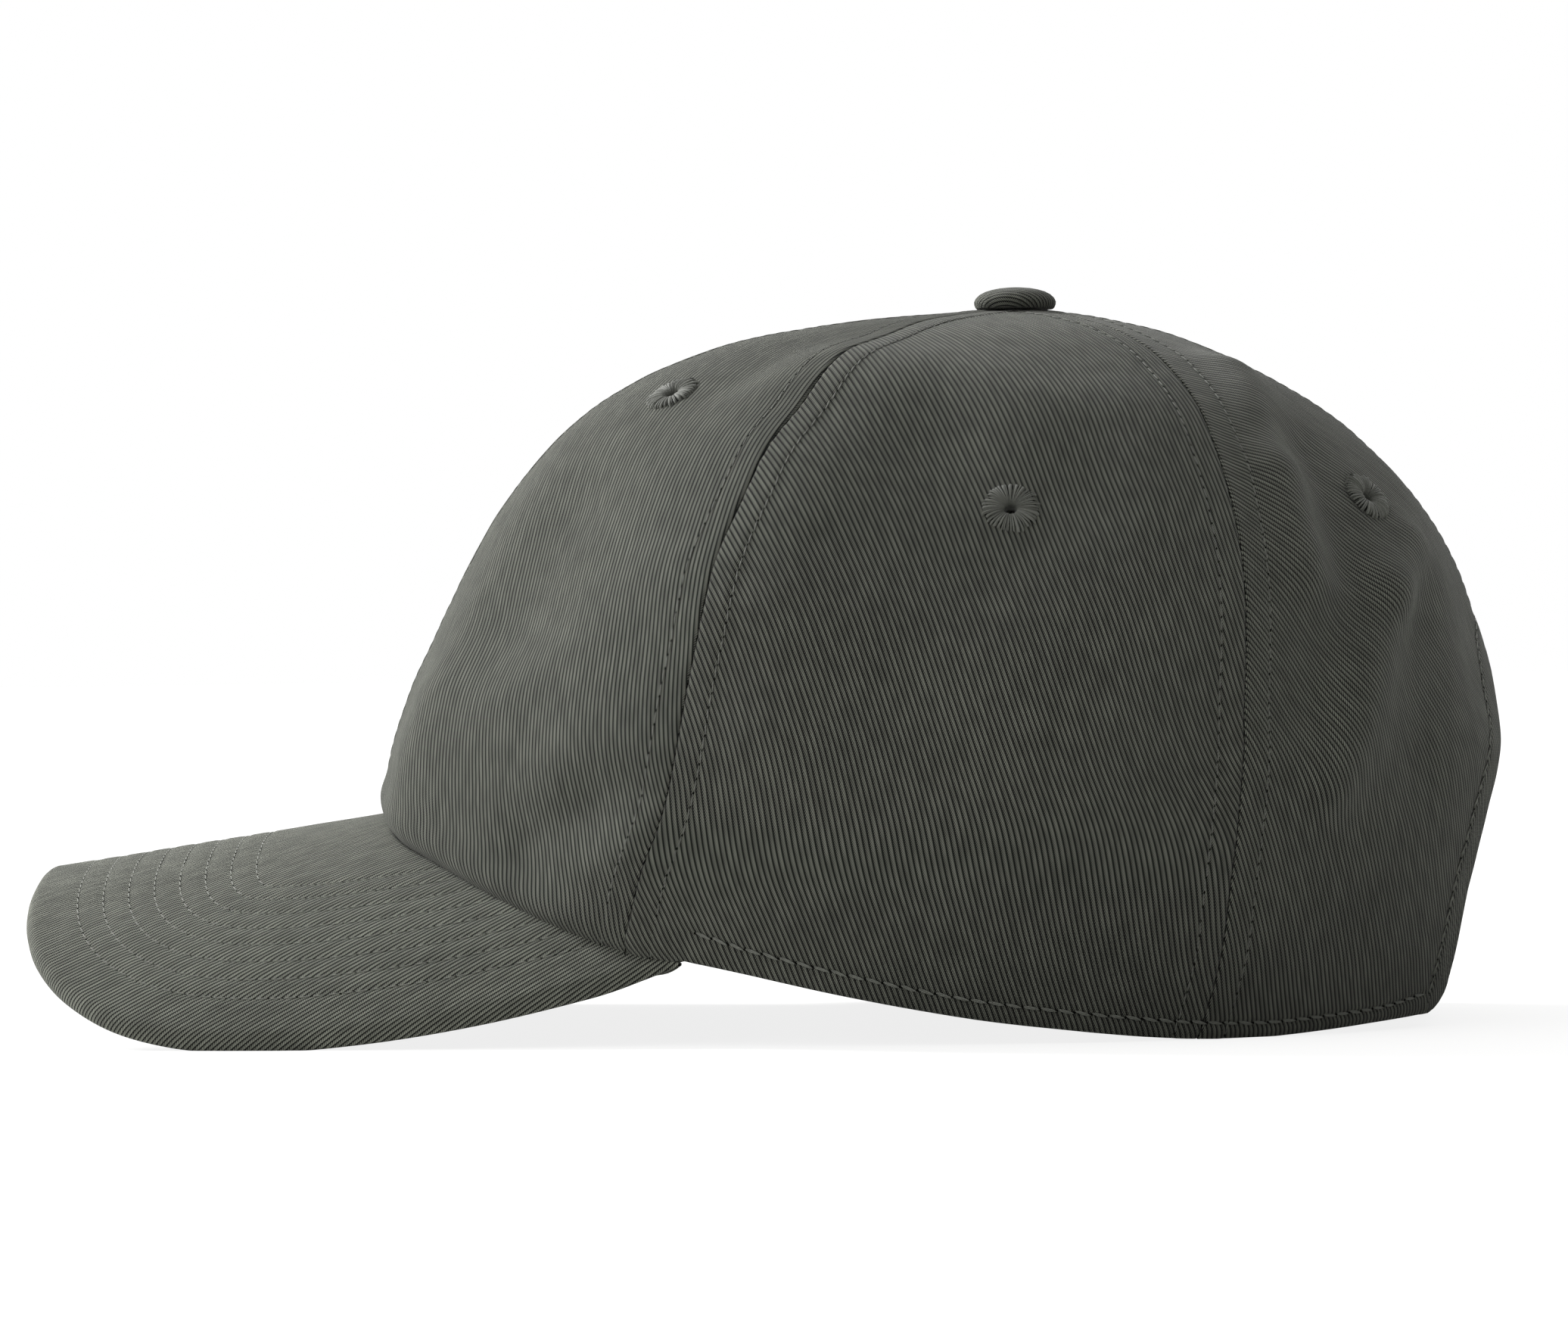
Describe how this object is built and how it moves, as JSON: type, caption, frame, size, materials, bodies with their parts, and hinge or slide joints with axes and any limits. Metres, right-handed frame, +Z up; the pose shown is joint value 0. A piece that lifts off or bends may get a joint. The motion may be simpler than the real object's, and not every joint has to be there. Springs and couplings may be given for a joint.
{
  "type": "dad hat",
  "caption": "Soft unstructured six-panel cap in twill, with a curved stitched visor, stitched eyelets, a covered top button and a strap-back opening.",
  "frame": {"origin": "middle of the hat's footprint, on the surface that the rim and the visor's edge rest on", "axes": "+Z up, +Y towards the back opening, so the visor points along -Y, +X towards the wearer's left"},
  "size_m": [0.1726, 0.265, 0.1343],
  "materials": {
    "twill": "matte washed cotton twill, dark olive grey",
    "band": "matte plain-woven cotton",
    "thread": "satin-stitched thread, slight sheen",
    "buckle": "dull antique metal"
  },
  "bodies": {
    "root": {"front_panel_left": "twill", "front_panel_right": "twill", "side_panel_left": "twill", "side_panel_right": "twill", "back_panel_left": "twill", "back_panel_right": "twill", "top_button": "twill", "visor": "twill", "back_strap": "twill", "sweatband": "band", "eyelet_front_left": "thread", "eyelet_front_right": "thread", "eyelet_side_left": "thread", "eyelet_side_right": "thread", "eyelet_back_left": "thread", "eyelet_back_right": "thread", "strap_buckle": "buckle"}
  },
  "joints": []
}
